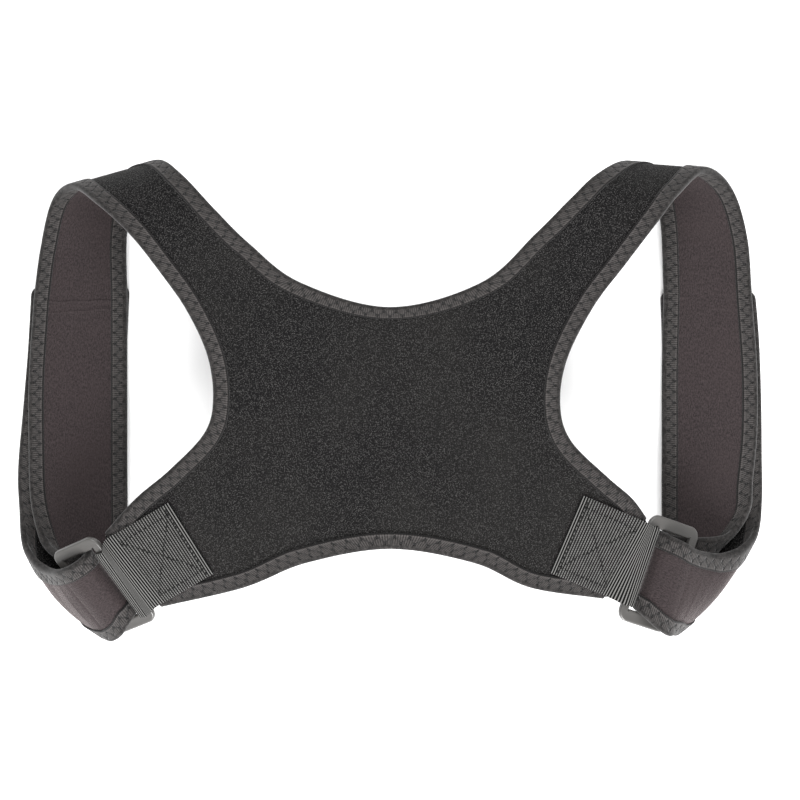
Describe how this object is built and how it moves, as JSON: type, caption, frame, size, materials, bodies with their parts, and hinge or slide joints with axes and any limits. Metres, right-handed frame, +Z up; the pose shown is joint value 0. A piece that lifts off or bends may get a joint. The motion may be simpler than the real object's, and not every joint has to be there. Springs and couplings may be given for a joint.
{
  "type": "posture corrector",
  "caption": "Padded fabric posture corrector: wide back panel whose shoulder arms turn into front straps, each strap looped through a plastic ring on a webbing tab",
  "frame": {"origin": "centre of the bounding box, on the table under the part", "axes": "+X across the back toward the strap on the right of the picture, +Y toward the neck, +Z up out of the outer face of the back panel, which lies face up"},
  "size_m": [0.4464, 0.282, 0.0595],
  "materials": {
    "velour": "matt loop velour",
    "strap_fabric": "fine knit lining",
    "binding": "ribbed binding tape",
    "ring_plastic": "satin",
    "webbing": "ribbed webbing",
    "hook": "hook fastener"
  },
  "bodies": {
    "root": {"back_panel": "velour", "neck_binding": "binding", "hem_binding": "binding", "armhole_binding_left": "binding", "front_strap_left": "strap_fabric", "strap_binding_left": "binding", "ring_left": "ring_plastic", "webbing_left": "webbing", "hook_patch_left": "hook", "armhole_binding_right": "binding", "front_strap_right": "strap_fabric", "strap_binding_right": "binding", "ring_right": "ring_plastic", "webbing_right": "webbing", "hook_patch_right": "hook"}
  },
  "joints": []
}
